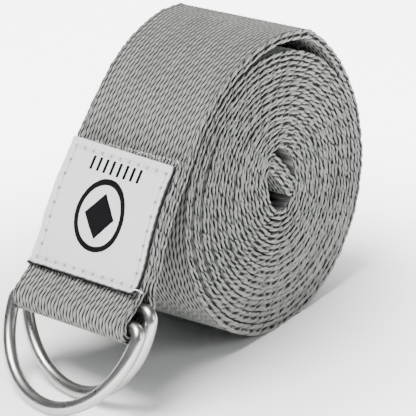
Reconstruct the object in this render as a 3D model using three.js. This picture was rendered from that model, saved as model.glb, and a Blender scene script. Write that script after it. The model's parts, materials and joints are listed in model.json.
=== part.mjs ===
// Rolled cotton stretching strap with two steel D-rings and a sewn label.
// Millimetres, +Z up. The roll stands on its round side with its axis along Y,
// its spiral face towards -Y and its loose end, with the rings, towards -X.

import * as THREE from 'three';

// Webbing strip
const WEB_WIDTH = 38.1;
const WEB_THICK = 2.1;

// Roll
const ROLL_RADIUS = 33.7;
const ROLL_AXIS_Z = 33.3;
const TURN_PITCH = 2.48;
const TURNS = 10.5;
const STEPS_PER_TURN = 40;
const SLACK = 1.6;
const SLACK_DECAY = 3;
const CORE_SHIFT = { x: 1.35, z: 2.0 };
const CORE_OVAL = 0.13;

// Outer turn, which stands off the roll over its top
const LIFT_ANGLE = 114.3;
const LIFT_GAP = 1.1;
const LIFT_HEIGHT = 4.25;
const BACK_SQUEEZE = 0.145;
const SQUEEZE_CENTRE = 45;
const SQUEEZE_REACH = 78;

// How the loose end turns away from the roll's axis as it hangs
const HANG_SPAN = 84;
const HANG_YAW = 12.5;
const LOOP_YAW = 9;
const HANG_TILT = -4.2;
const LOOP_TILT = -4;
const HANG_DRIFT = -3.3;
const LOOP_DRIFT = -0.8;

// D-rings: a straight bar, two tight corners and a round arc of wire
const WIRE_RADIUS = 1.55;
const RING_RADIUS = 21.35;
const RING_CORNER = 1.9;
const RING_CENTRE_DROP = 1.0;
const BAR_OUTER = { x: -51.3, z: 20.4, lean: 33.1 };
const BAR_INNER = { x: -47.0, z: 22.9, lean: 19.5 };
const LOOP_CLEARANCE = 0.35;
const LOOP_RADIUS = WIRE_RADIUS + LOOP_CLEARANCE + WEB_THICK / 2;

// Label and threads
const LABEL_WIDTH = 36.8;
const LABEL_LENGTH = 30.3;
const LABEL_THICK = 0.4;
const LABEL_GAP = 0.3;
const CUT_END_PAST_LABEL = 1.5;
const THREAD_RADIUS = 0.25;
const THREAD_INSET = 2.0;
const THREAD_CORNER = 1.2;
const THREAD_CLEARANCE = 0.1;

// Hem of the inner end, which lies across the core hole
const HEM_THICK = 4.0;
const HEM_LENGTH = 17;
const HEM_SEAM_FROM_TIP = 9;

const COTTON_GREY = 0x9a9e9a;
const LABEL_WHITE = 0xd8d9da;
const THREAD_WHITE = 0xe6e6e6;
const STEEL = 0xb8bbc0;

const radians = THREE.MathUtils.degToRad;

function material(colour, roughness, metalness) {
  return new THREE.MeshStandardMaterial({ color: colour, roughness, metalness });
}

// ---- Where the loose end goes ----

// Angle around the roll, in degrees: 0 on the -X side, 90 over the top.
function angleAround(x, z) {
  return THREE.MathUtils.radToDeg(Math.atan2(z - ROLL_AXIS_Z, -x));
}

// Yaw, tilt and sideways drift of the strap's width at a place on the loose end.
function hangAt(x, z) {
  const share = Math.max(0, (LIFT_ANGLE - angleAround(x, z)) / HANG_SPAN);
  const rise = Math.sin(Math.min(share, 1) * Math.PI / 2);
  const settle = THREE.MathUtils.smoothstep(share, 1, 1.5);
  const quick = Math.sin(Math.min(2.2 * share, 1) * Math.PI / 2);
  return {
    yaw: THREE.MathUtils.lerp(HANG_YAW * rise ** 1.25, LOOP_YAW, settle),
    tilt: THREE.MathUtils.lerp(HANG_TILT * quick, LOOP_TILT, settle),
    drift: THREE.MathUtils.lerp(HANG_DRIFT * rise, LOOP_DRIFT, settle),
  };
}

// Direction of the strap's width, from its front edge to its back edge.
function widthDirection(yaw, tilt) {
  const level = Math.cos(radians(tilt));
  return new THREE.Vector3(
    Math.sin(radians(yaw)) * level,
    Math.cos(radians(yaw)) * level,
    Math.sin(radians(tilt)),
  );
}

// Moves a point of the flat side view, x and z, to its place across the width.
function leanPoint(x, across, z) {
  const hang = hangAt(x, z);
  const point = new THREE.Vector3(x, hang.drift, z);
  return point.addScaledVector(widthDirection(hang.yaw, hang.tilt), across);
}

// The turns under the loose end are pressed inwards, most at their back edge.
function squeezePoint(x, across, z) {
  const away = Math.abs(angleAround(x, z) - SQUEEZE_CENTRE) / SQUEEZE_REACH;
  const press = away < 1 ? Math.cos(away * Math.PI / 2) ** 2 : 0;
  const keep = 1 - BACK_SQUEEZE * press * (across / WEB_WIDTH + 0.5);
  const height = ROLL_AXIS_Z + (z - ROLL_AXIS_Z) * keep;
  return new THREE.Vector3(x * keep, across, Math.max(height, 0));
}

function moveVertices(geometry, move) {
  const position = geometry.attributes.position;
  for (let i = 0; i < position.count; i += 1) {
    const moved = move(position.getX(i), position.getY(i), position.getZ(i));
    position.setXYZ(i, moved.x, moved.y, moved.z);
  }
  geometry.computeVertexNormals();
  return geometry;
}

// ---- Strips: a middle line in side view, thickened and given a width ----

function sideNormals(line) {
  return line.map((point, i) => {
    const before = line[Math.max(i - 1, 0)];
    const after = line[Math.min(i + 1, line.length - 1)];
    const along = after.clone().sub(before).normalize();
    return new THREE.Vector2(-along.y, along.x);
  });
}

function stripGeometry(line, thickness, width) {
  const normals = sideNormals(line);
  const upper = line.map((point, i) => point.clone().addScaledVector(normals[i], thickness(i) / 2));
  const lower = line.map((point, i) => point.clone().addScaledVector(normals[i], -thickness(i) / 2));
  const outline = new THREE.Shape([...upper, ...lower.reverse()]);
  const geometry = new THREE.ExtrudeGeometry(outline, { depth: width, bevelEnabled: false });
  geometry.rotateX(Math.PI / 2);
  geometry.translate(0, width / 2, 0);
  return geometry;
}

// ---- The roll ----

// Outer-face radius, a number of turns in from the roll's +X side.
function turnRadius(turns) {
  const within = turns - Math.floor(turns);
  const slack = SLACK * Math.exp(-turns / SLACK_DECAY) * Math.sin(Math.PI * within ** 1.5);
  return ROLL_RADIUS - TURN_PITCH * turns + slack;
}

function spiralPoint(turns) {
  const angle = Math.PI + 2 * Math.PI * turns;
  const depth = Math.max(turns, 0) / TURNS;
  const lift = turns < 0 ? LIFT_HEIGHT * (turns * 360 / (180 - LIFT_ANGLE)) ** 2 : 0;
  const radius = (turns < 0 ? ROLL_RADIUS : turnRadius(turns)) + lift - WEB_THICK / 2;
  const oval = CORE_OVAL * depth ** 2;
  return new THREE.Vector2(
    CORE_SHIFT.x * depth - radius * (1 - oval) * Math.cos(angle),
    ROLL_AXIS_Z + CORE_SHIFT.z * depth + radius * (1 + oval) * Math.sin(angle),
  );
}

// The inner end leaves the core wall, bends over and crosses the hole.
function tailLine() {
  const start = spiralPoint(TURNS);
  const bends = [[-4.9, 37.7], [-3.9, 40.4], [-1.9, 41.2], [0.6, 39.2], [3.2, 35.6], [5.9, 31.9]];
  const points = bends.map(([x, z]) => new THREE.Vector2(x, z));
  return new THREE.SplineCurve([start, ...points]).getSpacedPoints(24).slice(1);
}

function rollLine() {
  const first = -(180 - LIFT_ANGLE - LIFT_GAP) / 360;
  const count = Math.round((TURNS - first) * STEPS_PER_TURN);
  const turns = Array.from({ length: count + 1 }, (unused, i) => first + (TURNS - first) * i / count);
  return [...turns.map(spiralPoint), ...tailLine()];
}

// Length left to the line's end, at each of its points.
function lengthToEnd(line) {
  const left = new Array(line.length).fill(0);
  for (let i = line.length - 2; i >= 0; i -= 1) {
    left[i] = left[i + 1] + line[i].distanceTo(line[i + 1]);
  }
  return left;
}

function rollGeometry() {
  const line = rollLine();
  const left = lengthToEnd(line);
  const hem = (i) => THREE.MathUtils.smoothstep(HEM_LENGTH - left[i], 0, 4);
  const thickness = (i) => THREE.MathUtils.lerp(WEB_THICK, HEM_THICK, hem(i));
  return moveVertices(stripGeometry(line, thickness, WEB_WIDTH), squeezePoint);
}

// ---- The loose end ----

// Points of the strap's middle line against a ring bar, at angles in side view.
function aroundBar(bar, angles) {
  return angles.map((angle) => [
    bar.x + LOOP_RADIUS * Math.cos(radians(angle)),
    bar.z + LOOP_RADIUS * Math.sin(radians(angle)),
  ]);
}

// Middle line from the lift line over the top, down, round both ring bars and back up.
function looseEndCurve() {
  const down = [
    [14.92, 67.0], [5.1, 68.7], [-6.0, 67.8], [-16.3, 64.2], [-24.2, 58.4],
    [-28.6, 53.4], [-31.3, 49.5], [-35.7, 43.4], [-39.0, 36.9], [-41.7, 30.5], [-43.9, 26.1],
  ];
  const up = [[-50.3, 24.4], [-47.4, 26.5], [-43.9, 31.5], [-41.2, 38.0], [-37.8, 44.7], [-31.6, 52.9]];
  const loop = [...aroundBar(BAR_INNER, [-10, -60]), ...aroundBar(BAR_OUTER, [-60, -105, -150, -195, -228])];
  const points = [...down, ...loop, ...up].map(([x, z]) => new THREE.Vector3(x, z, 0));
  const curve = new THREE.CatmullRomCurve3(points, false, 'centripetal');
  curve.arcLengthDivisions = 800;
  return curve;
}

const looseEnd = looseEndCurve();
const LOOSE_LENGTH = looseEnd.getLength();

// Side-view point and outward normal at a length along the loose end.
function looseEndAt(length) {
  const share = THREE.MathUtils.clamp(length / LOOSE_LENGTH, 0, 1);
  const point = looseEnd.getPointAt(share);
  const along = looseEnd.getTangentAt(share);
  return { point: new THREE.Vector2(point.x, point.y), normal: new THREE.Vector2(-along.y, along.x) };
}

function looseEndGeometry() {
  const line = looseEnd.getSpacedPoints(130).map((point) => new THREE.Vector2(point.x, point.y));
  return moveVertices(stripGeometry(line, () => WEB_THICK, WEB_WIDTH), leanPoint);
}

// ---- The label, on the outer face of the folded-back ply ----

const LABEL_TOP = LOOSE_LENGTH - CUT_END_PAST_LABEL;
const LABEL_BOTTOM = LABEL_TOP - LABEL_LENGTH;
const LABEL_FRONT = WEB_WIDTH / 2 - LABEL_WIDTH;
const LABEL_MIDDLE_HEIGHT = WEB_THICK / 2 + LABEL_GAP + LABEL_THICK / 2;

function labelLinePoint(length, height) {
  const { point, normal } = looseEndAt(length);
  return point.addScaledVector(normal, height);
}

function labelGeometry() {
  const steps = 24;
  const line = Array.from({ length: steps + 1 }, (unused, i) => {
    return labelLinePoint(LABEL_BOTTOM + LABEL_LENGTH * i / steps, LABEL_MIDDLE_HEIGHT);
  });
  const geometry = stripGeometry(line, () => LABEL_THICK, LABEL_WIDTH);
  geometry.translate(0, (WEB_WIDTH - LABEL_WIDTH) / 2, 0);
  return moveVertices(geometry, leanPoint);
}

// ---- Wire and thread: a round section swept along points ----

function sweepGeometry(points, radius, sides, closed) {
  const count = points.length;
  const place = [];
  let normal = new THREE.Vector3(0.31, 0.17, 0.94);
  for (let i = 0; i < count; i += 1) {
    const before = points[closed ? (i + count - 1) % count : Math.max(i - 1, 0)];
    const after = points[closed ? (i + 1) % count : Math.min(i + 1, count - 1)];
    const along = after.clone().sub(before).normalize();
    normal = normal.clone().addScaledVector(along, -normal.dot(along)).normalize();
    const side = along.clone().cross(normal);
    for (let j = 0; j < sides; j += 1) {
      const turn = 2 * Math.PI * j / sides;
      const spot = points[i].clone().addScaledVector(normal, radius * Math.cos(turn));
      place.push(...spot.addScaledVector(side, radius * Math.sin(turn)).toArray());
    }
  }
  const faces = [];
  const rows = closed ? count : count - 1;
  for (let i = 0; i < rows; i += 1) {
    for (let j = 0; j < sides; j += 1) {
      const a = i * sides + j;
      const b = i * sides + (j + 1) % sides;
      const c = ((i + 1) % count) * sides + j;
      const d = ((i + 1) % count) * sides + (j + 1) % sides;
      faces.push(a, b, c, b, d, c);
    }
  }
  if (!closed) {
    const last = (count - 1) * sides;
    for (let j = 1; j < sides - 1; j += 1) {
      faces.push(0, j + 1, j, last, last + j, last + j + 1);
    }
  }
  const geometry = new THREE.BufferGeometry();
  geometry.setAttribute('position', new THREE.Float32BufferAttribute(place, 3));
  geometry.setIndex(faces);
  geometry.computeVertexNormals();
  return geometry;
}

// A row of stitches round the label, inset from its edges, with round corners.
function labelThreadGeometry() {
  const halfLength = LABEL_LENGTH / 2 - THREAD_INSET;
  const halfWidth = LABEL_WIDTH / 2 - THREAD_INSET;
  const outline = new THREE.Path();
  const corners = [[1, 1, 0], [-1, 1, 90], [-1, -1, 180], [1, -1, 270]];
  for (const [x, y, turn] of corners) {
    const centreX = x * (halfLength - THREAD_CORNER);
    const centreY = y * (halfWidth - THREAD_CORNER);
    outline.absarc(centreX, centreY, THREAD_CORNER, radians(turn), radians(turn + 90), false);
  }
  outline.closePath();
  const middle = LABEL_TOP - LABEL_LENGTH / 2;
  const across = LABEL_FRONT + LABEL_WIDTH / 2;
  const height = LABEL_MIDDLE_HEIGHT + LABEL_THICK / 2 + THREAD_RADIUS + THREAD_CLEARANCE;
  const points = outline.getSpacedPoints(72).slice(0, -1).map((spot) => {
    const side = labelLinePoint(middle + spot.x, height);
    return leanPoint(side.x, across + spot.y, side.y);
  });
  return sweepGeometry(points, THREAD_RADIUS, 6, true);
}

// The seam across the hem, on the hem's upper face.
function hemThreadGeometry() {
  const line = rollLine();
  const left = lengthToEnd(line);
  const index = left.findIndex((length) => length < HEM_SEAM_FROM_TIP);
  const normal = sideNormals(line)[index];
  const spot = line[index].clone().addScaledVector(normal, HEM_THICK / 2 + THREAD_RADIUS + THREAD_CLEARANCE);
  const reach = WEB_WIDTH / 2 - THREAD_INSET;
  const points = Array.from({ length: 13 }, (unused, i) => {
    return new THREE.Vector3(spot.x, reach * (i / 6 - 1), spot.y);
  });
  return sweepGeometry(points, THREAD_RADIUS, 6, false);
}

// ---- D-rings ----

// Middle line of the wire: bar along x at y = 0, arc below it.
function ringOutline() {
  const drop = RING_CENTRE_DROP - RING_CORNER;
  const cornerX = Math.sqrt((RING_RADIUS - RING_CORNER) ** 2 - drop ** 2);
  const meet = Math.atan2(drop, cornerX);
  const outline = new THREE.Path();
  outline.moveTo(0, 0);
  outline.absarc(cornerX, -RING_CORNER, RING_CORNER, Math.PI / 2, meet, true);
  outline.absarc(0, -RING_CENTRE_DROP, RING_RADIUS, meet, -Math.PI - meet, true);
  outline.absarc(-cornerX, -RING_CORNER, RING_CORNER, Math.PI - meet, Math.PI / 2, true);
  outline.closePath();
  return outline.getSpacedPoints(120).slice(0, -1);
}

function ringGeometry(bar) {
  const across = widthDirection(LOOP_YAW, LOOP_TILT);
  const down = new THREE.Vector3(0, 0, -1).addScaledVector(across, across.z).normalize();
  const outward = across.clone().cross(down).normalize();
  const hang = down.multiplyScalar(Math.cos(radians(bar.lean)));
  hang.addScaledVector(outward, Math.sin(radians(bar.lean)));
  const centre = new THREE.Vector3(bar.x, LOOP_DRIFT, bar.z);
  const points = ringOutline().map((spot) => {
    return centre.clone().addScaledVector(across, spot.x).addScaledVector(hang, -spot.y);
  });
  return sweepGeometry(points, WIRE_RADIUS, 10, true);
}

// ---- Assembly ----

const cotton = material(COTTON_GREY, 0.95, 0);
const steel = material(STEEL, 0.25, 1);
const pieces = [
  ['webbing_roll', rollGeometry(), cotton],
  ['webbing_loose_end', looseEndGeometry(), cotton],
  ['sewn_label', labelGeometry(), material(LABEL_WHITE, 0.7, 0)],
  ['label_thread', labelThreadGeometry(), material(THREAD_WHITE, 0.8, 0)],
  ['hem_thread', hemThreadGeometry(), material(COTTON_GREY, 0.9, 0)],
  ['d_ring_outer', ringGeometry(BAR_OUTER), steel],
  ['d_ring_inner', ringGeometry(BAR_INNER), steel],
];

const strap = new THREE.Group();
for (const [name, geometry, look] of pieces) {
  const mesh = new THREE.Mesh(geometry, look);
  mesh.name = name;
  strap.add(mesh);
}

// The origin is under the middle of the whole strap, on the surface that it stands on.
const bounds = new THREE.Box3().setFromObject(strap, true);
const middle = bounds.getCenter(new THREE.Vector3());
strap.position.set(-middle.x, -middle.y, -bounds.min.z);

export default strap;
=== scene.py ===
"""A rolled grey cotton stretching strap with two steel D-rings and a stitched label.

Lengths are in millimetres until a mesh is made, and angles in degrees where they are constants.
The side view's x and z are measured as in the CAD part, about the roll, and GROUP_SHIFT takes
them to the row frame. A place on the strap is a length along it, a distance across it from its
middle, and a height off its middle ply.
"""

import json
import math

import bpy
import numpy as np
from mathutils import Matrix, Vector

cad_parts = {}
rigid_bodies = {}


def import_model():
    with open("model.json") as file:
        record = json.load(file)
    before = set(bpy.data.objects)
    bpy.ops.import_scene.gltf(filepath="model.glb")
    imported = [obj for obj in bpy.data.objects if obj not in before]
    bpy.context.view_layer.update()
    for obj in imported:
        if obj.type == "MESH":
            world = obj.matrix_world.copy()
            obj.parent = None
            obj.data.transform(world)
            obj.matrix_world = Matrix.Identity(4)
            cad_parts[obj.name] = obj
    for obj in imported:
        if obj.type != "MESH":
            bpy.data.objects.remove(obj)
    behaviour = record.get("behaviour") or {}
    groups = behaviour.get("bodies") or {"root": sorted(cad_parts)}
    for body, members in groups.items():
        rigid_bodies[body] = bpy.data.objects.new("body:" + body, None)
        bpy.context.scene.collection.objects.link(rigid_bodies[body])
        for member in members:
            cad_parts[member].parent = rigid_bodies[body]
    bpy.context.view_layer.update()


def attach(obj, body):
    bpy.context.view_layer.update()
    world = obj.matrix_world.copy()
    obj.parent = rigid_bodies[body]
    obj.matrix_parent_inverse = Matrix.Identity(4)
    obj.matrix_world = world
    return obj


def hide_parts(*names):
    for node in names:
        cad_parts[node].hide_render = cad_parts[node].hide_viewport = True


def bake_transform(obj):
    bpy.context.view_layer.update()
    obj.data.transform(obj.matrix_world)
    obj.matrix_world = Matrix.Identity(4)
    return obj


MM = 0.001
GROUP_SHIFT = np.array([15.940, 0.783, 0.0])

# Webbing strip
WEB_WIDTH = 38.1
WEB_THICK = 2.1
FACE_EDGE = (0.4, 1.6)
FACE_WAVE = 0.07
INNER_FACE_SHIFT = 0.6
INNER_FACE_TONE_SHIFT = 3

# Ribs of its faces, and the slits in the grooves between them
RIB_COUNT = 34
RIB_DEPTH = 0.36
RIB_GAP = 0.25
SLIT_LENGTH = 2.4
SLIT_SWAY = 0.11
SLIT_DRIFT = 0.25
SLIT_SLANT = 0.11
SLIT_SCATTER = 0.20
SLIT_SCATTER_STEP = 2.4
LEAST_DEPTH = 0.55
# The least painted shade along a groove, between its slits
LEAST_GROOVE = 0.60

# Its two beads at each edge, and the knots along them
BEAD_RADIUS = 0.62
BEAD_HEIGHT = 0.58
BEAD_FACE_ANGLE = 80
BEAD_MEETING_ANGLE = 52
BEAD_COLUMNS = 8
KNOT_PITCH = 2.7
KNOT_DEPTH = 0.34
KNOT_SLANT = 3.3
KNOT_STAGGER = 0.30
KNOT_JITTER = 0.16
KNOT_SHARPNESS = 1.4
# Groove values sink the knots and are also painted as shade in their slits and where the beads meet
KNOT_GROOVE = 0.58
KNOT_GROOVE_SPREAD = 0.34
KNOT_LEVEL = 0.34
KNOT_SWELL = 0.10
RIM_BETWEEN_BEADS = (0.25, 0.9)
RIM_AT_FACE = (0.7, 1.35)
RIM_DEEPENING = 0.4
RIM_GROOVE_AND_SHADE = 0.45

# How the strap gives way to its neighbours and to the ring bars
TURN_SWAY = 0.28
EDGE_SWAY = 0.12
BOTTOM_SPAN = (6, 22)
BOTTOM_SWELL = 0.20
BOTTOM_SOFTENING = 0.3
LEFT_SPAN = (10, 26)
LEFT_THINNING = 0.22
SLACK_TURNS = (560, 330)
OUTER_TURN_FADE = 60
LOOP_SPAN = (3.5, 7)
LOOP_THINNING = 0.15
LOOP_NARROWING = 0.014

# Stretches of the strap, each its own mesh, with the steps of their rows
RIB_COLUMNS = RIB_COUNT * 6 + 1
SPARE_COLUMNS = RIB_COUNT + 1
HIDDEN_COLUMNS = 7
VISIBLE_STEP = 0.30
HIDDEN_STEP = 0.24
UNDER_STEP = 0.34
HEM_STRETCH = 44
BEND_STRETCH = (-26.0, 22.0)
BEND_BLEND = (-20.0, 14.0)

# Roll
ROLL_RADIUS = 33.7
ROLL_AXIS_Z = 33.3
TURN_PITCH = 2.48
TURNS = 10.5
TURN_STEP = 0.004
SLACK = 1.6
SLACK_DECAY = 3
CORE_SHIFT = (1.35, 2.0)
CORE_OVAL = 0.13
LINE_STEP = 0.15
SMOOTHING_PASSES = 12

# Outer turn, which stands off the roll over its top
LIFT_ANGLE = 114.3
LIFT_HEIGHT = 4.25
BACK_SQUEEZE = 0.145
SQUEEZE_CENTRE = 45
SQUEEZE_REACH = 78
SQUEEZE_FADE = 12
OUTER_TURN_LENGTH = 2 * np.pi * (ROLL_RADIUS - 1) * 1.02

# Hem of the inner end, which is folded back on itself
HEM_LENGTH = 17
HEM_DROP = 1.02
HEM_RISE = 1.04
HEM_SEAM_FROM_CUT = 9.0
HEM_STITCHES = 11
HEM_STITCH_PITCH = 3.1
HEM_STITCH_LENGTH = 2.3
HEM_STITCH_RISE = 0.06
HEM_STITCH_ARCH = 0.14
HEM_STITCH_RADIUS = 0.2
HEM_FIRST_STITCH = -16.6

# How the loose end turns away from the roll's axis as it hangs
HANG_SPAN = 84
HANG_YAW = 12.5
HANG_YAW_EASE = 1.25
HANG_TILT = -4.2
HANG_TILT_PACE = 2.2
HANG_DRIFT = -3.3
LOOP_YAW = 9
LOOP_TILT = -4
LOOP_DRIFT = -0.8

# D-rings, with each bar's x and z in side view and the angle its ring hangs at
WIRE_RADIUS = 1.55
RING_RADIUS = 21.35
RING_CORNER = 2.3
RING_CENTRE_DROP = 1.0
BAR_OUTER = (-51.3, 20.4, 33.1)
BAR_INNER = (-47.0, 22.9, 19.5)
LOOP_RADIUS = WIRE_RADIUS + 0.35 + WEB_THICK / 2

# Label
LABEL_WIDTH = 36.8
LABEL_LENGTH = 30.3
LABEL_COLUMNS = 150
LABEL_ROWS = 124
SATIN_HEIGHT = 0.45
SATIN_THICK = 0.26
SATIN_WAVE = 0.07
SIDE_WAVE = 0.14
LOWER_WAVE = 0.20
SEAM_DIP = 0.20
SEAM_REACH = 0.7
HOLE_DIP = 0.34
HOLE_SPREAD = 0.13
LOWER_EDGE_LIFT = 0.35
LOWER_EDGE_LIFT_SPREAD = 0.25
CORNER_LIFT = 0.8
RAW_EDGE = 0.55
RAW_EDGE_SPREAD = 0.28
RAW_EDGE_START = 0.97
RAW_EDGE_CURL = 0.16
RIM_START = 0.15
FRONT_RIM = 0.55
LOWER_RIM = 0.50
RIM_SPREAD = 0.3
CUT_END_PAST_LABEL = 1.5
CUT_END_SLANT = 1.6
CUT_END_REACH = 6

# The label's stitches, and the yarn ends of the cut end above it
STITCH_PITCH = 3.3
STITCH_INSET = 2.0
STITCH_POINTS = 7
STITCH_RISE = 0.36
STITCH_ARCH = 0.10
STITCH_RADIUS = 0.13
TAIL_RADIUS = 0.14
FRAY_COUNT = 120
FRAY_RADIUS = 0.17
FRAY_TAPER = 0.45
FRAY_ROOT = 0.5
FRAY_LENGTHS = (0.25, 0.9)
FRAY_BENDS = (-0.7, 0.7)
FRAY_HEIGHTS = (0.1, 1.6)
FRAY_DROOP = 0.35
FRAY_DROOPS = (-0.5, 1.2)

# The label's mark, about its middle
MARK_RAGGED = 0.35
MARK_RING_RADIUS = 7.6
MARK_RING_HALF_WIDTH = 0.7
MARK_LOZENGE_REACH = 5.2
MARK_BAR_PITCH = 2.4
MARK_BAR_SHARE = 0.19
MARK_BARS_REACH = 9.6
MARK_BARS_LEVEL = 10.7
MARK_BARS_HALF_HEIGHT = 1.6

# Grain of the materials: how fine it is across, along and through each
YARN_FIBRES = (9.0, 1.6, 9.0)
YARN_BLOTCHES = (0.5, 0.12, 0.5)
YARN_FUZZ = (7.0, 3.0, 7.0)
SATIN_WEAVE = (3.0, 11.0, 1.0)
SATIN_PICKS = (4.0, 14.0, 1.0)

# Grain of the threads and the steel, in waves to a metre
THREAD_TONES = 2600.0
THREAD_TWIST = 4200.0
STEEL_PATCHES = 220.0
STEEL_TINTS = 90.0

# How strongly the yarn varies, and how ragged the edges of the painted shade in its grooves are
FIBRE_CONTRAST = 2.2
BLOTCH_CONTRAST = 0.7
GROOVE_RAGGED = 0.6

# Colours, with the depths of groove between which the cotton turns to its painted groove shade
COTTON_LIGHT = (0.35, 0.362, 0.342)
COTTON_DARK = (0.135, 0.142, 0.133)
# The near black cotton is painted shade for the deepest grooves
COTTON_PAINTED_SHADE = (0.009, 0.010, 0.010)
GROOVE_SHADE = (0.10, 0.72)
SATIN_DARK = (0.50, 0.51, 0.525)
SATIN_LIGHT = (0.70, 0.705, 0.715)
# Painted shade at the needle holes, and painted shadow with the dark back along the ragged edges
SATIN_PAINTED_SHADE = (0.03, 0.03, 0.03)
SATIN_BACK = (0.012, 0.012, 0.013)
SATIN_INK = (0.004, 0.004, 0.005)
LABEL_THREAD = (0.82, 0.82, 0.82)
FRAYED_YARN = (0.55, 0.60, 0.54)
HEM_THREAD = (0.33, 0.34, 0.33)
STEEL_WARM = (0.50, 0.485, 0.475)
STEEL_DULL = (0.38, 0.373, 0.368)
STEEL_ROUGHNESS = (0.20, 0.40)
FLOOR_WHITE = (0.93, 0.93, 0.93, 1)
KEY_LIGHT = (1.0, 0.985, 0.96)
SKY_TINT = (0.84, 0.92, 1)

# Studio, in metres
FLOOR_SIZE = 6
GLOW_START = 0.02
GLOW_FULL = 0.13
GLOW_STRENGTH = 4.6
LIGHT_AIM = (0, 0, 0.03)
SKY_BANDS = [
    (0.0, 0.03), (0.20, 0.05), (0.30, 0.9), (0.46, 1.0), (0.54, 0.08), (0.66, 0.10), (0.74, 0.95),
]
SKY_STRENGTH = 0.30

# Camera, about the roll's middle
CAMERA_AZIMUTH = -50.24
CAMERA_ELEVATION = 23.7
CAMERA_ROLL = -4.15
CAMERA_DISTANCE = 678.7
CAMERA_OFFSET = (-1.03, -7.52)
CAMERA_LENS = 251.9
CAMERA_SENSOR = 36

rng = np.random.default_rng(7)


# ---- Small maths ----


def smoothstep(value, low, high):
    """0 below low and 1 above high, with a smooth climb between."""
    share = np.clip((value - low) / (high - low), 0, 1)
    return share * share * (3 - 2 * share)


def lerp(a, b, share):
    return a + (b - a) * share


def wander(along, period, seed):
    """A smooth random curve from -1 to 1, with about one swing for each period."""
    source = np.random.default_rng(seed)
    total = np.zeros_like(along, dtype=float)
    for octave in range(3):
        scale = 2 * np.pi / (period * source.uniform(0.7, 1.5) / (1 + 0.8 * octave))
        total += np.sin(along * scale + source.uniform(0, 2 * np.pi)) / (1 + octave)
    return total / 1.8


def catmull(points, steps):
    """A centripetal Catmull-Rom curve through the points."""
    p = np.array(points, float)
    p = np.vstack([2 * p[0] - p[1], p, 2 * p[-1] - p[-2]])
    out = []
    for i in range(1, len(p) - 2):
        p0, p1, p2, p3 = p[i - 1 : i + 3]
        t0 = 0.0
        t1 = t0 + math.sqrt(np.linalg.norm(p1 - p0))
        t2 = t1 + math.sqrt(np.linalg.norm(p2 - p1))
        t3 = t2 + math.sqrt(np.linalg.norm(p3 - p2))
        t = np.linspace(t1, t2, steps, endpoint=False)[:, None]
        a1 = (t1 - t) / (t1 - t0) * p0 + (t - t0) / (t1 - t0) * p1
        a2 = (t2 - t) / (t2 - t1) * p1 + (t - t1) / (t2 - t1) * p2
        a3 = (t3 - t) / (t3 - t2) * p2 + (t - t2) / (t3 - t2) * p3
        b1 = (t2 - t) / (t2 - t0) * a1 + (t - t0) / (t2 - t0) * a2
        b2 = (t3 - t) / (t3 - t1) * a2 + (t - t1) / (t3 - t1) * a3
        out.append((t2 - t) / (t2 - t1) * b1 + (t - t1) / (t2 - t1) * b2)
    return np.vstack(out + [p[-2:-1]])


def line_lengths(line):
    """The length along a line at each of its points."""
    return np.concatenate([[0], np.cumsum(np.linalg.norm(np.diff(line, axis=0), axis=1))])


def line_normals(line):
    """The left-hand normals of a side-view line."""
    along = np.gradient(line, axis=0)
    along /= np.linalg.norm(along, axis=1)[:, None]
    return np.stack([-along[:, 1], along[:, 0]], axis=1)


# ---- Where the strap lies ----


def angle_around(x, z):
    """The angle about the roll's axis, from the side where the rings hang up over the top."""
    return np.degrees(np.arctan2(z - ROLL_AXIS_Z, -x))


def hang_at(x, z):
    """How far the loose end has yawed, tilted and drifted at a side-view place."""
    share = np.maximum(0, (LIFT_ANGLE - angle_around(x, z)) / HANG_SPAN)
    rise = np.sin(np.minimum(share, 1) * np.pi / 2)
    quick = np.sin(np.minimum(HANG_TILT_PACE * share, 1) * np.pi / 2)
    settle = smoothstep(share, 1, 1.5)
    yaw = lerp(HANG_YAW * rise**HANG_YAW_EASE, LOOP_YAW, settle)
    tilt = lerp(HANG_TILT * quick, LOOP_TILT, settle)
    drift = lerp(HANG_DRIFT * rise, LOOP_DRIFT, settle)
    return np.radians(yaw), np.radians(tilt), drift


def lean(x, across, z):
    """Places points of the loose end's side view across its width."""
    yaw, tilt, drift = hang_at(x, z)
    level = np.cos(tilt) * across
    y = drift + np.cos(yaw) * level
    return np.stack([x + np.sin(yaw) * level, y, z + np.sin(tilt) * across], -1)


def squeeze(x, across, z, amount):
    """Presses the turns under the loose end inwards, most at their back edge."""
    away = np.abs(angle_around(x, z) - SQUEEZE_CENTRE) / SQUEEZE_REACH
    press = np.where(away < 1, np.cos(np.minimum(away, 1) * np.pi / 2) ** 2, 0) * amount
    keep = 1 - BACK_SQUEEZE * press * (across / WEB_WIDTH + 0.5)
    height = np.maximum(ROLL_AXIS_Z + (z - ROLL_AXIS_Z) * keep, 0)
    return np.stack([x * keep, across + 0 * x, height], -1)


def spiral_points(turns):
    """The wound strap's middle line, by turns inwards; before turn 0 it lifts off the roll."""
    angle = np.pi + 2 * np.pi * turns
    depth = np.maximum(turns, 0) / TURNS
    within = turns - np.floor(turns)
    slack = SLACK * np.exp(-np.maximum(turns, 0) / SLACK_DECAY) * np.sin(np.pi * within**1.5)
    lift = LIFT_HEIGHT * (np.minimum(turns, 0) * 360 / (180 - LIFT_ANGLE)) ** 2
    wound = ROLL_RADIUS - TURN_PITCH * turns + slack
    radius = np.where(turns < 0, ROLL_RADIUS + lift, wound) - WEB_THICK / 2
    oval = CORE_OVAL * depth**2
    x = CORE_SHIFT[0] * depth - radius * (1 - oval) * np.cos(angle)
    z = ROLL_AXIS_Z + CORE_SHIFT[1] * depth + radius * (1 + oval) * np.sin(angle)
    return np.stack([x, z], 1)


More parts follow.
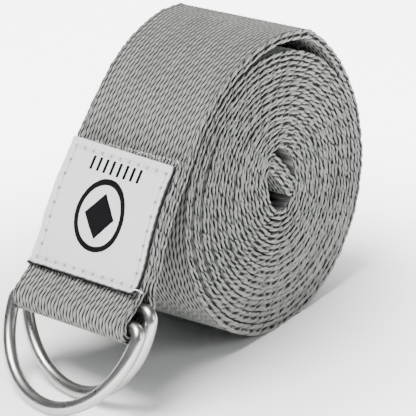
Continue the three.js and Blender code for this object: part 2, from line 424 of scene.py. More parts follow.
def inner_end_line():
    """From the hem's cut edge to its fold at the tip, and back to where the spiral starts."""
    start = spiral_points(np.array([TURNS]))[0]
    bends = [(-4.9, 37.7), (-3.9, 40.4), (-1.9, 41.2), (0.6, 39.2), (3.2, 35.6), (5.9, 31.9)]
    tail = catmull([start, *bends], 16)
    normal = line_normals(tail)
    left = line_lengths(tail)[-1] - line_lengths(tail)
    shift = smoothstep(HEM_LENGTH - left, 0, 4)[:, None] * HEM_DROP
    under = tail - normal * shift
    over = (tail + normal * HEM_RISE)[left < HEM_LENGTH - 2]
    along = np.array([normal[-1][1], -normal[-1][0]])
    turn = np.linspace(np.pi / 2, -np.pi / 2, 9)[1:-1, None]
    fold_radius = (HEM_DROP + HEM_RISE) / 2
    fold = tail[-1] + fold_radius * (np.sin(turn) * normal[-1] + np.cos(turn) * along)
    return np.vstack([over, fold, under[::-1]])


def around_bar(bar, angles):
    """Side-view points of the strap's middle line round a ring's bar."""
    turns = [math.radians(angle) for angle in angles]
    return [
        (bar[0] + LOOP_RADIUS * math.cos(a), bar[1] + LOOP_RADIUS * math.sin(a)) for a in turns
    ]


def loose_end_line():
    """Down from the lift line to the rings, round both bars, and up behind to the cut end."""
    down = [
        (14.92, 67.0), (5.1, 68.7), (-6.0, 67.8), (-16.3, 64.2), (-24.2, 58.4), (-28.6, 53.4),
        (-31.3, 49.5), (-35.7, 43.4), (-39.0, 36.9), (-41.7, 30.5), (-43.9, 26.1),
    ]
    up = [(-50.3, 24.4), (-47.4, 26.5), (-43.9, 31.5), (-41.2, 38.0), (-37.8, 44.7), (-31.6, 52.9)]
    inner_loop = around_bar(BAR_INNER, [-10, -60])
    outer_loop = around_bar(BAR_OUTER, [-60, -105, -150, -195, -228])
    return catmull(down + inner_loop + outer_loop + up, 14)


class StrapPath:
    """The strap's middle line in side view, with length 0 at the lift line."""

    def __init__(self):
        lift_turn = -(180 - LIFT_ANGLE) / 360
        turns = np.arange(TURNS - TURN_STEP / 2, lift_turn, -TURN_STEP)
        inner_end = inner_end_line()
        wound = np.vstack([inner_end, spiral_points(turns)])
        line = np.vstack([wound, loose_end_line()])
        lengths = line_lengths(line)
        zero = lengths[len(wound)]
        self.start = -zero
        self.end = lengths[-1] - zero
        outer_start = int(np.argmax(turns < 0)) + len(inner_end)
        self.outer_from = lengths[outer_start] - zero
        keep = np.concatenate([[True], np.diff(lengths) > 1e-4])
        even = np.arange(0, lengths[-1], LINE_STEP)
        self.lengths = even - zero
        self.line = np.stack([np.interp(even, lengths[keep], line[keep, i]) for i in range(2)], 1)
        self.smooth()
        self.normals = -line_normals(self.line)

    def smooth(self):
        """Rounds the joins between the stretches of the line."""
        for _ in range(SMOOTHING_PASSES):
            middle = (self.line[:-2] + self.line[2:]) / 2
            self.line[1:-1] = (self.line[1:-1] + middle) / 2

    def at(self, along):
        """Side-view points, and outer-face normals, at lengths along the strap."""
        point = np.stack([np.interp(along, self.lengths, self.line[:, i]) for i in range(2)], -1)
        normal = np.stack([np.interp(along, self.lengths, self.normals[:, i]) for i in range(2)], -1)
        return point, normal / np.linalg.norm(normal, axis=-1, keepdims=True)

    def place(self, along, across, height):
        """Row-frame points, in millimetres, for strap coordinates of one shape."""
        point, normal = self.at(along)
        x = point[..., 0] + normal[..., 0] * height
        z = point[..., 1] + normal[..., 1] * height
        amount = 1 - smoothstep(along, self.outer_from, self.outer_from + SQUEEZE_FADE)
        wound = squeeze(x, across, z, amount)
        hung = lean(x, across, z)
        return np.where((along > 0)[..., None], hung, wound) + GROUP_SHIFT


# ---- Meshes ----


def link(name, mesh):
    obj = bpy.data.objects.new(name, mesh)
    bpy.context.scene.collection.objects.link(obj)
    return obj


def grid_object(name, points, attributes):
    """A smooth closed skin over rows of points, each row a ring, with its two ends capped."""
    rows, cols = points.shape[:2]
    index = np.arange(rows * cols).reshape(rows, cols)
    right = np.roll(index, -1, axis=1)
    quads = np.stack([index[:-1], index[1:], right[1:], right[:-1]], -1).reshape(-1, 4)
    corners = np.concatenate([quads.ravel(), index[0], index[-1][::-1]])
    starts = np.append(np.arange(len(quads)) * 4, [quads.size, quads.size + cols])
    mesh = bpy.data.meshes.new(name)
    mesh.vertices.add(rows * cols)
    mesh.vertices.foreach_set("co", (points * MM).astype(np.float32).ravel())
    mesh.loops.add(len(corners))
    mesh.loops.foreach_set("vertex_index", corners.astype(np.int32))
    mesh.polygons.add(len(starts))
    mesh.polygons.foreach_set("loop_start", starts.astype(np.int32))
    mesh.update(calc_edges=True)
    mesh.shade_smooth()
    for key, value in attributes.items():
        vector = value.ndim == 3
        layer = mesh.attributes.new(key, "FLOAT_VECTOR" if vector else "FLOAT", "POINT")
        layer.data.foreach_set("vector" if vector else "value", value.astype(np.float32).ravel())
    return link(name, mesh)


def tube_object(name, lines, radius, sides, closed=False, taper=0.0):
    """Round tubes along several lines of points, as one object."""
    places, faces, offset = [], [], 0
    turn = 2 * np.pi * np.arange(sides) / sides
    for line in lines:
        line = np.asarray(line, float)
        count = len(line)
        ahead = np.roll(line, -1, 0) if closed else np.vstack([line[1:], line[-1:]])
        behind = np.roll(line, 1, 0) if closed else np.vstack([line[:1], line[:-1]])
        along = ahead - behind
        along /= np.linalg.norm(along, axis=1)[:, None]
        normal = np.array([0.31, 0.17, 0.94])
        for i in range(count):
            normal = normal - along[i] * normal.dot(along[i])
            normal /= np.linalg.norm(normal)
            side = np.cross(along[i], normal)
            size = radius * (1 - taper * i / (count - 1))
            ring = np.cos(turn)[:, None] * normal + np.sin(turn)[:, None] * side
            places.append(line[i] + size * ring)
        for i in range(count if closed else count - 1):
            a = offset + i * sides
            b = offset + ((i + 1) % count) * sides
            for j in range(sides):
                k = (j + 1) % sides
                faces.append((a + j, a + k, b + k, b + j))
        if not closed:
            faces.append(tuple(offset + j for j in reversed(range(sides))))
            faces.append(tuple(offset + (count - 1) * sides + j for j in range(sides)))
        offset += count * sides
    mesh = bpy.data.meshes.new(name)
    mesh.from_pydata((np.vstack(places) * MM).tolist(), [], faces)
    mesh.shade_smooth()
    return link(name, mesh)


# ---- The webbing's surface ----


def face_relief(across, along):
    """Height of the ribs and the painted shade of their grooves, with slanted slits staggered
    between them.
    """
    position = (across / WEB_WIDTH + 0.5) * RIB_COUNT
    edge = np.round(position)
    drift = SLIT_DRIFT * wander(along, 23, seed=5)
    scatter = SLIT_SCATTER * np.sin(SLIT_SCATTER_STEP * edge)
    wave = 2 * np.pi * (along / SLIT_LENGTH + drift + SLIT_SLANT * edge + scatter)
    gap = np.exp(-(((position - edge - SLIT_SWAY * np.sin(wave)) / RIB_GAP) ** 2))
    slit = 0.5 + 0.5 * np.cos(wave)
    return -RIB_DEPTH * gap * lerp(LEAST_DEPTH, 1, slit), gap * lerp(LEAST_GROOVE, 1, slit)


def edge_section():
    """Section columns round the two beads of one edge, from the outer face to the inner."""
    flat = WEB_WIDTH / 2 - BEAD_RADIUS
    upper = np.linspace(BEAD_FACE_ANGLE, -BEAD_MEETING_ANGLE, BEAD_COLUMNS)
    lower = np.linspace(BEAD_MEETING_ANGLE, -BEAD_FACE_ANGLE, BEAD_COLUMNS)
    columns = []
    for row, angles in [(1, upper), (-1, lower)]:
        for angle in np.radians(angles):
            across = flat + BEAD_RADIUS * math.cos(angle)
            height = row * BEAD_HEIGHT + BEAD_RADIUS * math.sin(angle)
            columns.append((across, height, math.cos(angle), math.sin(angle), 0, row, angle))
    return columns


def section(outer_columns, inner_columns):
    """Columns round the strap's section.

    Each has its place across and height, its direction outwards, its face (1 outer, -1 inner,
    0 on a bead), its row of beads (1 outer, -1 inner, 0 on a face) and its angle round the bead.
    """
    flat = WEB_WIDTH / 2 - BEAD_RADIUS
    right_edge = edge_section()
    left_edge = [(-v, h, -nv, nh, f, r, a) for v, h, nv, nh, f, r, a in reversed(right_edge)]
    outer = [(v, WEB_THICK / 2, 0, 1, 1, 0, 0) for v in np.linspace(-flat, flat, outer_columns)]
    inner = [(v, -WEB_THICK / 2, 0, -1, -1, 0, 0) for v in np.linspace(flat, -flat, inner_columns)]
    return np.array(outer + right_edge + inner + left_edge)


def knot_relief(along, angle, row):
    """An edge's two rows of yarn loops, slanted one over the next, with sunken slits between that
    are painted dark as shade.
    """
    stagger = KNOT_STAGGER * wander(along + 40 * row, 7, seed=9)
    jitter = KNOT_JITTER * wander(along, 2.9, seed=14)
    wave = 2 * np.pi * (along / KNOT_PITCH + (stagger + jitter)) + KNOT_SLANT * angle
    slit = (0.5 + 0.5 * np.cos(wave)) ** KNOT_SHARPNESS
    rim = smoothstep(-angle * row, *RIM_BETWEEN_BEADS) + smoothstep(angle * row, *RIM_AT_FACE)
    depth = KNOT_GROOVE + KNOT_GROOVE_SPREAD * wander(along - 60 * row, 3.7, seed=15)
    groove = np.clip(depth * slit * (1 + RIM_DEEPENING * rim) + RIM_GROOVE_AND_SHADE * rim, 0, 1)
    swell = KNOT_SWELL * wander(along + 80 * row, 4.3, seed=16)
    return KNOT_DEPTH * (KNOT_LEVEL - groove) + swell, groove


def cut_end_slant(path, across, along):
    """How much shorter the strap is towards its back edge, close to its cut end."""
    near = smoothstep(along, path.end - CUT_END_REACH, path.end)
    return CUT_END_SLANT * (0.5 + across / WEB_WIDTH) * near


def within_roll(path, along):
    """1 in the wound turns, falling to 0 where the outer turn starts."""
    return 1 - smoothstep(along, path.outer_from - OUTER_TURN_FADE, path.outer_from)


def lowness(path, along):
    """How near the underside of the roll a stretch of the strap lies, from 0 to 1."""
    return smoothstep(ROLL_AXIS_Z - path.at(along)[0][..., 1], *BOTTOM_SPAN) * (along < 0)


def looped(path, along):
    """How close a stretch of the strap lies to the ring bars, from 0 to 1."""
    middle = path.at(along)[0]
    bars = (BAR_OUTER, BAR_INNER)
    away = [np.hypot(middle[..., 0] - bar[0], middle[..., 1] - bar[1]) for bar in bars]
    return (1 - smoothstep(np.minimum(*away), *LOOP_SPAN)) * (along > 0)


def edge_fullness(path, along):
    """Thicker where the turns lie loose underneath, thinner at the slack left and at the bars."""
    low = lowness(path, along)
    left = smoothstep(-path.at(along)[0][..., 0], *LEFT_SPAN) * (1 - low) * (along < 0)
    slack_from, slack_to = (path.outer_from - length for length in SLACK_TURNS)
    slack = left * smoothstep(along, slack_from, slack_to)
    swell = BOTTOM_SWELL * low * within_roll(path, along)
    return 1 + swell - LEFT_THINNING * slack - LOOP_THINNING * looped(path, along)


def webbing(name, path, start, end, columns, step):
    """A stretch of the strap as one mesh, with its ribs, knots and strap coordinates."""
    rows = max(2, int(round((end - start) / step)) + 1)
    along = np.linspace(start, end, rows)[:, None]
    across, height, out_v, out_h, face, row, angle = (c[None, :] for c in section(*columns).T)
    along = along + 0 * across
    outer_height, outer_groove = face_relief(across, along)
    inner_height, inner_groove = face_relief(-across, along + INNER_FACE_SHIFT)
    along = along - cut_end_slant(path, across, along)
    # Knots near the roll's underside sink less and carry less painted shade
    soften = 1 - BOTTOM_SOFTENING * lowness(path, along)
    knot_height, knot_groove = (soften * part for part in knot_relief(along, angle, row))
    on_face = np.abs(face) > 0
    fade = smoothstep(WEB_WIDTH / 2 - np.abs(across), *FACE_EDGE)
    relief = np.where(on_face, np.where(face > 0, outer_height, inner_height) * fade, knot_height)
    groove = np.where(on_face, np.where(face > 0, outer_groove, inner_groove), knot_groove)
    wound = within_roll(path, along)
    sway = TURN_SWAY * wander(along, 90, seed=3) * wound
    sway = sway + EDGE_SWAY * wander(along, 9, seed=4) * np.sign(across)
    held = looped(path, along)
    v = across * (1 - LOOP_NARROWING * held) + out_v * relief + sway * (1 - held)
    h = height + out_h * relief + FACE_WAVE * wander(along, 11, seed=6) * wound
    points = path.place(along, v, h * edge_fullness(path, along))
    tone_across = across + INNER_FACE_TONE_SHIFT * face + 0 * along
    strap = np.stack([tone_across, along, height + 0 * along], -1)
    # The groove value is carried to the cotton as painted shade
    return grid_object(name, points, {"strap": strap, "groove": groove})


# ---- Materials ----


class Nodes:
    """Short calls for building a node tree."""

    def __init__(self, name):
        self.material = bpy.data.materials.new(name)
        self.material.use_nodes = True
        self.tree = self.material.node_tree
        self.shader = self.tree.nodes["Principled BSDF"]

    def add(self, kind, **settings):
        node = self.tree.nodes.new(kind)
        for key, value in settings.items():
            setattr(node, key, value)
        return node

    def join(self, source, target):
        self.tree.links.new(source, target)

    def math(self, operation, a, b=0.0, c=0.0):
        """A maths node, each of whose inputs is a number or another node's output."""
        node = self.add("ShaderNodeMath", operation=operation)
        for socket, value in zip(node.inputs, (a, b, c)):
            if isinstance(value, (int, float)):
                socket.default_value = value
            else:
                self.join(value, socket)
        return node.outputs[0]

    def spread(self, value, gain, base):
        """How far a 0 to 1 value is from its middle, times gain, added to base."""
        return self.math("MULTIPLY_ADD", self.math("SUBTRACT", value, 0.5), gain, base)

    def mix(self, share, a, b):
        """From a to b by share, where a and b are plain colours or other nodes' outputs."""
        node = self.add("ShaderNodeMix", data_type="RGBA")
        self.join(share, node.inputs[0])
        for socket, value in ((node.inputs[6], a), (node.inputs[7], b)):
            if isinstance(value, tuple):
                socket.default_value = (*value, 1)
            else:
                self.join(value, socket)
        return node.outputs[2]

    def climb(self, value, low, high, top=1.0):
        """0 below low and top above high, with a smooth climb between."""
        node = self.add("ShaderNodeMapRange", interpolation_type="SMOOTHSTEP")
        self.join(value, node.inputs["Value"])
        node.inputs["From Min"].default_value = low
        node.inputs["From Max"].default_value = high
        node.inputs["To Max"].default_value = top
        return node.outputs[0]

    def noise(self, vector, scale, detail):
        node = self.add("ShaderNodeTexNoise")
        self.join(vector, node.inputs["Vector"])
        node.inputs["Scale"].default_value = scale
        node.inputs["Detail"].default_value = detail
        return node.outputs["Fac"]

    def scaled(self, vector, scale):
        node = self.add("ShaderNodeMapping")
        self.join(vector, node.inputs["Vector"])
        node.inputs["Scale"].default_value = scale
        return node.outputs["Vector"]

    def attribute(self, name, output):
        return self.add("ShaderNodeAttribute", attribute_name=name).outputs[output]

    def object_place(self):
        return self.add("ShaderNodeTexCoord").outputs["Object"]

    def base_colour(self, source):
        self.join(source, self.shader.inputs["Base Color"])

    def bump(self, height, strength, distance):
        node = self.add("ShaderNodeBump")
        self.join(height, node.inputs["Height"])
        node.inputs["Strength"].default_value = strength
        node.inputs["Distance"].default_value = distance
        self.join(node.outputs["Normal"], self.shader.inputs["Normal"])

    def set(self, **values):
        """Sets the shader's own sockets, with _ for a space in a socket's name."""
        for key, value in values.items():
            self.shader.inputs[key.replace("_", " ")].default_value = value


def cotton_material():
    """Heathered cotton yarn, with painted shade in the grooves between its ribs and knots."""
    n = Nodes("cotton_webbing")
    strap = n.attribute("strap", "Vector")
    groove = n.attribute("groove", "Fac")
    fibre = n.noise(n.scaled(strap, YARN_FIBRES), 1.0, 5.0)
    blotch = n.noise(n.scaled(strap, YARN_BLOTCHES), 1.0, 2.0)
    clamp = n.add("ShaderNodeClamp")
    tone = n.spread(blotch, BLOTCH_CONTRAST, n.spread(fibre, FIBRE_CONTRAST, 0.5))
    n.join(tone, clamp.inputs[0])
    yarn = n.mix(clamp.outputs[0], COTTON_DARK, COTTON_LIGHT)
    # Painted shade: the cotton turns near black where its grooves are deep
    shade = n.climb(n.spread(fibre, GROOVE_RAGGED, groove), *GROOVE_SHADE)
    n.base_colour(n.mix(shade, yarn, COTTON_PAINTED_SHADE))
    n.set(Roughness=0.95, Sheen_Weight=0.06, Sheen_Roughness=0.5, Specular_IOR_Level=0.15)
    n.bump(n.noise(n.scaled(strap, YARN_FUZZ), 1.6, 4.0), 0.5, 0.0003)
    return n.material


def label_mark(n, x, y, place):
    """A plain woven ring with a lozenge in it, and a row of bars above: 1 where it is black."""
    ragged = n.spread(n.noise(place, 3.2, 2.0), MARK_RAGGED, 0.0)
    square = n.math("ADD", n.math("POWER", x, 2.0), n.math("POWER", y, 2.0))
    radius = n.math("ADD", n.math("POWER", square, 0.5), ragged)
    from_ring = n.math("ABSOLUTE", n.math("SUBTRACT", radius, MARK_RING_RADIUS))
    ring = n.math("LESS_THAN", from_ring, MARK_RING_HALF_WIDTH)
    from_middle = n.math("ABSOLUTE", x)
    reach = n.math("ADD", n.math("ADD", from_middle, n.math("ABSOLUTE", y)), ragged)
    lozenge = n.math("LESS_THAN", reach, MARK_LOZENGE_REACH)
    within_bar = n.math("SUBTRACT", n.math("FRACT", n.math("DIVIDE", x, MARK_BAR_PITCH)), 0.5)
    bar = n.math("LESS_THAN", n.math("ABSOLUTE", within_bar), MARK_BAR_SHARE)
    wide = n.math("LESS_THAN", from_middle, MARK_BARS_REACH)
    from_level = n.math("ABSOLUTE", n.math("SUBTRACT", y, MARK_BARS_LEVEL))
    level = n.math("LESS_THAN", from_level, MARK_BARS_HALF_HEIGHT)
    bars = n.math("MULTIPLY", n.math("MULTIPLY", bar, wide), level)
    return n.math("MAXIMUM", n.math("MAXIMUM", ring, lozenge), bars)


def label_material():
    """Light satin with a fine weave, a plain black mark, a dark back, and painted shade at its
    needle holes and ragged edges.
    """
    n = Nodes("label_satin")
    place = n.attribute("label", "Vector")
    split = n.add("ShaderNodeSeparateXYZ")
    n.join(place, split.inputs[0])
    x, y, is_back = split.outputs
    weave = n.noise(n.scaled(place, SATIN_WEAVE), 1.0, 4.0)
    cloth = n.mix(weave, SATIN_DARK, SATIN_LIGHT)
    # Painted shade at the needle holes and partly painted shadow along the ragged edges
    shaded_cloth = n.mix(n.attribute("hole_shade_and_dark_rim", "Fac"), cloth, SATIN_PAINTED_SHADE)
    marked = n.mix(label_mark(n, x, y, place), shaded_cloth, SATIN_INK)
    n.base_colour(n.mix(is_back, marked, SATIN_BACK))
    n.set(Roughness=0.8, Specular_IOR_Level=0.04)
    n.bump(n.noise(n.scaled(place, SATIN_PICKS), 1.0, 3.0), 0.5, 0.0002)
    return n.material


def thread_material(name, colour):
    """Twisted sewing thread, or loose yarn."""
    n = Nodes(name)
    place = n.object_place()
    darker = tuple(0.8 * c for c in colour)
    n.base_colour(n.mix(n.noise(place, THREAD_TONES, 2.0), darker, colour))
    n.set(Roughness=0.6, Sheen_Weight=0.2)
    n.bump(n.noise(place, THREAD_TWIST, 2.0), 0.3, 0.0001)
    return n.material


def steel_material():
    """Polished steel, brighter and duller in small patches."""
    n = Nodes("ring_steel")
    place = n.object_place()
    smooth, rough = STEEL_ROUGHNESS
    patch = n.noise(place, STEEL_PATCHES, 3.0)
    roughness = n.math("MULTIPLY_ADD", patch, rough - smooth, smooth)
    n.join(roughness, n.shader.inputs["Roughness"])
    n.base_colour(n.mix(n.noise(place, STEEL_TINTS, 2.0), STEEL_WARM, STEEL_DULL))
    n.set(Metallic=1.0)
    return n.material


# ---- Pieces ----


def dress(obj, material):
    """Gives a piece its material."""
    obj.data.materials.append(material)


def cut_evenly(name, start, end, count, columns, step, body):
    """Equal stretches between two lengths, numbered from 1."""
    marks = np.linspace(start, end, count + 1)
    ends = zip(marks[:-1], marks[1:])
    return [(f"{name}_{i}", a, b, columns, step, body) for i, (a, b) in enumerate(ends, 1)]


def webbing_stretches(path):
    """Name, start, end, columns of the two faces, row step and body of each stretch."""
    fine = (RIB_COLUMNS, RIB_COLUMNS)
    outer_only = (RIB_COLUMNS, SPARE_COLUMNS)
    hidden = (HIDDEN_COLUMNS, HIDDEN_COLUMNS)
    hem_end = path.start + HEM_STRETCH
    inner_end = path.outer_from - OUTER_TURN_LENGTH
    bend_start, bend_end = BEND_STRETCH
    side_start = (inner_end + bend_start) / 2
    return [
        ("webbing_hem", path.start, hem_end, fine, VISIBLE_STEP, "roll"),
        *cut_evenly("webbing_inner_turns", hem_end, inner_end, 3, hidden, HIDDEN_STEP, "roll"),
        ("webbing_outer_turn_under", inner_end, side_start, outer_only, UNDER_STEP, "roll"),
        ("webbing_outer_turn_side", side_start, bend_start, outer_only, UNDER_STEP, "roll"),
        ("webbing_bend", bend_start, bend_end, fine, VISIBLE_STEP, "bend"),
        *cut_evenly("webbing_loose_end", bend_end, path.end, 3, fine, VISIBLE_STEP, "loose_end"),
    ]


def build_webbing(path, cotton):
    """The strap: the wound turns, the outer turn, the bend over the top and the loose end."""
    for name, a, b, columns, step, body in webbing_stretches(path):
        obj = webbing(name, path, a, b, columns, step)
        dress(obj, cotton)
        if body == "bend":
            start, end = path.place(np.array(BEND_BLEND), np.zeros(2), np.zeros(2)) * MM
            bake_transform(obj)
        else:
            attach(obj, body)
    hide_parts("webbing_roll")
    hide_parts("webbing_loose_end")


def label_place(path, x, y, height):
    """Points on the label: x from its middle towards the back, y up it, height off the ply."""
    top = path.end - CUT_END_PAST_LABEL
    along = top - LABEL_LENGTH / 2 + y
    across = WEB_WIDTH / 2 - LABEL_WIDTH / 2 + x
    return path.place(along, across, -(WEB_THICK / 2 + height))


def seam_reach():
    """How far the label's seam is from its middle, across it and up it."""
    return LABEL_WIDTH / 2 - STITCH_INSET, LABEL_LENGTH / 2 - STITCH_INSET


def stitch_holes():
    """Places of the needle holes, in order round the label."""
    half_x, half_y = seam_reach()
    corners = [(-half_x, half_y), (half_x, half_y), (half_x, -half_y), (-half_x, -half_y)]
    holes = []
    for (x0, y0), (x1, y1) in zip(corners, corners[1:] + corners[:1]):
        count = int(round(math.hypot(x1 - x0, y1 - y0) / STITCH_PITCH))
        holes += [(lerp(x0, x1, i / count), lerp(y0, y1, i / count)) for i in range(count)]
    return np.array(holes)


def label_grid():
    """Shares across and up the label, and the places there, with slightly wavy edges."""
    u = np.linspace(-1, 1, LABEL_COLUMNS)[None, :]
    t = np.linspace(-1, 1, LABEL_ROWS)[:, None]
    x = u * LABEL_WIDTH / 2 + 0 * t
    y = t * LABEL_LENGTH / 2 + 0 * u
    x = x + SIDE_WAVE * wander(y, 6, seed=21) * np.abs(u) ** 8
    y = y + LOWER_WAVE * wander(x, 5, seed=22) * np.abs(t) ** 8 * (t < 0)
    return u, t, x, y


def label_holes(x, y):
    """1 at the needle holes, falling to 0 round them: the satin sinks there and is painted with
    shade.
    """
    near = 0 * x
    for hole_x, hole_y in stitch_holes():
        square = (x - hole_x) ** 2 + (y - hole_y) ** 2
        near = np.maximum(near, np.exp(-square / HOLE_SPREAD))
    return near


def label_rims(x, y):
    """1 at the ragged front and lower edges, painted dark there partly for the dark back showing
    round the satin and partly as shadow.
    """
    front_end = FRONT_RIM + RIM_SPREAD * wander(y, 1.5, seed=27)
    lower_end = LOWER_RIM + RIM_SPREAD * wander(x, 1.7, seed=28)
    front = smoothstep(x + LABEL_WIDTH / 2, RIM_START, front_end)
    lower = smoothstep(y + LABEL_LENGTH / 2, RIM_START, lower_end)
    return np.maximum(1 - front, 1 - lower)


def label_height(u, t, x, y, holes):
    """Height off the ply: pulled down at the seam, lifted at the lower edge and front corner."""
    half_x, half_y = seam_reach()
    from_seam = np.minimum(np.abs(np.abs(x) - half_x), np.abs(np.abs(y) - half_y))
    height = SATIN_HEIGHT - SEAM_DIP * np.exp(-((from_seam / SEAM_REACH) ** 2))
    height = height - HOLE_DIP * holes
    height = height + SATIN_WAVE * wander(x + 0.6 * y, 16, seed=23)
    edge_lift = LOWER_EDGE_LIFT + LOWER_EDGE_LIFT_SPREAD * wander(x, 7, seed=24)
    corner = smoothstep(-u, 0.80, 1.0) * smoothstep(-t, 0.75, 1.0)
    return height + np.clip(-t, 0, 1) ** 14 * edge_lift + CORNER_LIFT * corner


def build_label(path, material):
    """The label: thin satin, pulled down at its stitches, with its dark back turned out."""
    u, t, x, y = label_grid()
    holes = label_holes(x, y)
    height = label_height(u, t, x, y, holes)
    # Painted shade at the needle holes and partly painted shadow at the ragged edges
    hole_shade_and_dark_rim = np.maximum(holes, label_rims(x, y))
    top = label_place(path, x, y, height)
    # The dark back shows past the satin at the front and lower edges, a dark line that partly stands
    # for shadow
    ragged = RAW_EDGE + RAW_EDGE_SPREAD * wander(x - y, 1.3, seed=25)
    at_front = smoothstep(-u, RAW_EDGE_START, 1.0)
    at_foot = smoothstep(-t, RAW_EDGE_START, 1.0)
    under_height = height - SATIN_THICK + RAW_EDGE_CURL * np.maximum(at_front, at_foot)
    under = label_place(path, x - ragged * at_front, y - ragged * at_foot, under_height)
    points = np.concatenate([under, top[:, ::-1]], axis=1)
    front = np.stack([x, y, 0 * x], -1)[:, ::-1]
    behind = np.stack([x, y, 0 * x + 1], -1)
    attributes = {
        "label": np.concatenate([behind, front], axis=1),
        "hole_shade_and_dark_rim": np.concatenate([hole_shade_and_dark_rim, hole_shade_and_dark_rim[:, ::-1]], axis=1),
    }
    label = grid_object("label", points, attributes)
    dress(label, material)
    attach(label, "loose_end")
    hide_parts("sewn_label")


def build_label_threads(path, material):
    """Short stitches between the needle holes, and the loose tail of thread at a corner."""
    holes = stitch_holes()
    share = np.linspace(0.12, 0.88, STITCH_POINTS)[:, None]
    rise = STITCH_RISE + STITCH_ARCH * np.sin(np.pi * np.linspace(0, 1, STITCH_POINTS))
    lines = []
    for start, end in zip(holes, np.roll(holes, -1, axis=0)):
        spot = start + (end - start) * share
        lines.append(label_place(path, spot[:, 0], spot[:, 1], rise))
    corner = np.array([-LABEL_WIDTH / 2 + 0.3, -LABEL_LENGTH / 2 + 1.0, 0])
    reach = [
        (1.2, -0.2, 0.55), (0.2, 0.1, 1.1), (-1.0, 0.3, 1.9), (-2.2, 0.35, 2.0), (-3.4, 0.1, 1.6),
    ]
    tail = label_place(path, *(corner + catmull(reach, 5)).T)
    threads = tube_object("label_stitches", lines, STITCH_RADIUS, sides=6)
    tail_object = tube_object("label_thread_tail", [tail], TAIL_RADIUS, sides=6)
    for obj in (threads, tail_object):
        dress(obj, material)
        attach(obj, "loose_end")
    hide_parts("label_thread")


def yarn_end(path, across):
    """One yarn end: a short line that bends aside and droops as it leaves the cut end."""
    length = rng.uniform(*FRAY_LENGTHS)
    bend = rng.uniform(*FRAY_BENDS)
    height = -(WEB_THICK / 2) + rng.uniform(*FRAY_HEIGHTS)
    end = path.end - cut_end_slant(path, across, path.end)
    share = np.linspace(0, 1, 6)
    along = end - FRAY_ROOT + length * share
    side = across + bend * share**2
    rise = height - FRAY_DROOP * share * rng.uniform(*FRAY_DROOPS)
    point, normal = path.at(np.minimum(along, path.end))
    over = np.maximum(along - path.end, 0)[:, None]
    forward = np.stack([-normal[:, 1], normal[:, 0]], 1)
    spot = point + forward * over + normal * rise[:, None]
    return lean(spot[:, 0], side, spot[:, 1]) + GROUP_SHIFT


def build_fray(path, material):
    """Yarn ends that stand out of the cut end, above the label."""
    reach = WEB_WIDTH / 2 - 0.5
    lines = [yarn_end(path, across) for across in np.linspace(-reach, reach, FRAY_COUNT)]
    fray = tube_object("cut_end_fray", lines, FRAY_RADIUS, sides=6, taper=FRAY_TAPER)
    dress(fray, material)
    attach(fray, "loose_end")


def build_hem_seam(path, material):
    """A row of stitches across the hem of the inner end."""
    along = np.full(6, path.start + HEM_SEAM_FROM_CUT)
    arch = HEM_STITCH_ARCH * np.sin(np.linspace(0, np.pi, 6))
    height = WEB_THICK / 2 + HEM_STITCH_RISE + arch
    lines = []
    for i in range(HEM_STITCHES):
        start = HEM_FIRST_STITCH + HEM_STITCH_PITCH * i
        across = np.linspace(start, start + HEM_STITCH_LENGTH, 6)
        lines.append(path.place(along, across, -height))
    seam = tube_object("hem_stitches", lines, HEM_STITCH_RADIUS, sides=6)
    dress(seam, material)
    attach(seam, "roll")
    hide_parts("hem_thread")


def ring_outline():
    """Middle line of a ring's wire: its bar along x at y = 0, and its arc below."""
    drop = RING_CENTRE_DROP - RING_CORNER
    corner_x = math.sqrt((RING_RADIUS - RING_CORNER) ** 2 - drop**2)
    meet = math.atan2(drop, corner_x)
    turn = np.linspace(math.pi / 2, meet, 16)
    corner = np.stack([np.cos(turn), np.sin(turn)], 1)
    right = np.array([corner_x, -RING_CORNER]) + RING_CORNER * corner
    arc = np.linspace(meet, -math.pi - meet, 160)[1:-1]
    round_part = [0, -RING_CENTRE_DROP] + RING_RADIUS * np.stack([np.cos(arc), np.sin(arc)], 1)
    left = right[::-1] * [-1, 1]
    bar = np.stack([np.linspace(-corner_x, corner_x, 40)[1:-1], np.zeros(38)], 1)
    return np.vstack([right, round_part, left, bar])


def build_ring(name, body, bar, material):
    """A D-ring of round wire, hung from the loop of the strap by its straight bar."""
    yaw, tilt = math.radians(LOOP_YAW), math.radians(LOOP_TILT)
    level = math.cos(tilt)
    across = Vector((math.sin(yaw) * level, math.cos(yaw) * level, math.sin(tilt)))
    down = (Vector((0, 0, -1)) + across * across.z).normalized()
    outward = across.cross(down).normalized()
    tip = math.radians(bar[2])
    hang = down * math.cos(tip) + outward * math.sin(tip)
    centre = np.array([bar[0], LOOP_DRIFT, bar[1]]) + GROUP_SHIFT
    outline = ring_outline()
    line = centre + outline[:, :1] * np.array(across) - outline[:, 1:] * np.array(hang)
    ring = tube_object(f"{name}_wire", [line], WIRE_RADIUS, sides=40, closed=True)
    dress(ring, material)
    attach(ring, body)
    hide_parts(name)


# ---- Studio ----


def area_light(name, place, size, power, colour=(1, 1, 1)):
    """A rectangular light that faces the object."""
    lamp = bpy.data.lights.new(name, "AREA")
    lamp.shape = "RECTANGLE"
    lamp.size, lamp.size_y = size
    lamp.energy = power
    lamp.color = colour
    obj = bpy.data.objects.new(name, lamp)
    bpy.context.scene.collection.objects.link(obj)
    obj.location = place
    aim = Vector(LIGHT_AIM) - Vector(place)
    obj.rotation_euler = aim.to_track_quat("-Z", "Y").to_euler()


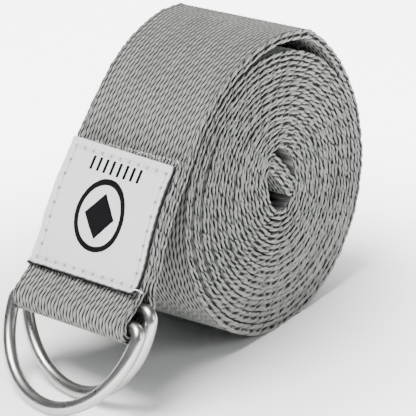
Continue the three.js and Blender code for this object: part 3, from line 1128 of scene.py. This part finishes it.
def floor_material():
    """A pale floor that is lit from within away from the object, as a light table is."""
    n = Nodes("studio_floor")
    length = n.add("ShaderNodeVectorMath", operation="LENGTH")
    n.join(n.object_place(), length.inputs[0])
    glow = n.climb(length.outputs["Value"], GLOW_START, GLOW_FULL, GLOW_STRENGTH)
    n.join(glow, n.shader.inputs["Emission Strength"])
    n.set(Base_Color=FLOOR_WHITE, Roughness=0.9, Emission_Color=(1, 1, 1, 1))
    return n.material


def build_floor():
    """One wide square that the object stands on."""
    half = FLOOR_SIZE / 2
    corners = [(-half, -half, 0), (half, -half, 0), (half, half, 0), (-half, half, 0)]
    mesh = bpy.data.meshes.new("floor")
    mesh.from_pydata(corners, [], [(0, 1, 2, 3)])
    mesh.materials.append(floor_material())
    link("floor", mesh)


def build_sky():
    """Bright sky in bands, so that polished wire shows light and dark lines."""
    world = bpy.data.worlds.new("studio")
    bpy.context.scene.world = world
    world.use_nodes = True
    tree = world.node_tree
    place = tree.nodes.new("ShaderNodeTexCoord")
    split = tree.nodes.new("ShaderNodeSeparateXYZ")
    ramp = tree.nodes.new("ShaderNodeValToRGB")
    tree.links.new(place.outputs["Generated"], split.inputs[0])
    tree.links.new(split.outputs[2], ramp.inputs[0])
    while len(ramp.color_ramp.elements) < len(SKY_BANDS):
        ramp.color_ramp.elements.new(0.5)
    for element, (position, value) in zip(ramp.color_ramp.elements, SKY_BANDS):
        element.position = position
        element.color = (*(value * c for c in SKY_TINT), 1)
    background = tree.nodes["Background"]
    tree.links.new(ramp.outputs[0], background.inputs["Color"])
    background.inputs["Strength"].default_value = SKY_STRENGTH


def build_studio():
    """The floor, the sky, a large soft key light overhead and a weak one in front."""
    build_floor()
    build_sky()
    area_light("key", place=(-0.38, 0.08, 1.25), size=(0.7, 0.7), power=42, colour=KEY_LIGHT)
    area_light("front", place=(0.42, -1.15, 0.5), size=(0.6, 0.5), power=6.5)


def camera_axes():
    """The camera's directions to its right, up and back, away from the object."""
    angles = (CAMERA_AZIMUTH, CAMERA_ELEVATION, CAMERA_ROLL)
    azimuth, elevation, roll = (math.radians(angle) for angle in angles)
    level = math.cos(elevation)
    back = Vector((math.sin(azimuth) * level, -math.cos(azimuth) * level, math.sin(elevation)))
    side = Vector((math.cos(azimuth), math.sin(azimuth), 0))
    rise = back.cross(side)
    right = side * math.cos(roll) + rise * math.sin(roll)
    up = rise * math.cos(roll) - side * math.sin(roll)
    return right, up, back


def build_camera():
    """A long lens, at the distance that gives the roll its slight perspective."""
    right, up, back = camera_axes()
    data = bpy.data.cameras.new("camera")
    data.lens = CAMERA_LENS
    data.sensor_width = CAMERA_SENSOR
    data.clip_start = 0.05
    data.clip_end = 20
    camera = bpy.data.objects.new("camera", data)
    bpy.context.scene.collection.objects.link(camera)
    centre = Vector(GROUP_SHIFT) + Vector((0, 0, ROLL_AXIS_Z))
    place = centre + back * CAMERA_DISTANCE + right * CAMERA_OFFSET[0] + up * CAMERA_OFFSET[1]
    turn = Matrix((right, up, back)).transposed().to_4x4()
    camera.matrix_world = Matrix.Translation(place * MM) @ turn
    bpy.context.scene.camera = camera


def main():
    for obj in list(bpy.data.objects):
        bpy.data.objects.remove(obj)
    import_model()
    path = StrapPath()
    build_webbing(path, cotton_material())
    build_label(path, label_material())
    build_label_threads(path, thread_material("label_thread", LABEL_THREAD))
    build_fray(path, thread_material("frayed_cotton", FRAYED_YARN))
    build_hem_seam(path, thread_material("hem_thread", HEM_THREAD))
    steel = steel_material()
    build_ring("d_ring_outer", "ring_outer", BAR_OUTER, steel)
    build_ring("d_ring_inner", "ring_inner", BAR_INNER, steel)
    build_studio()
    build_camera()


main()
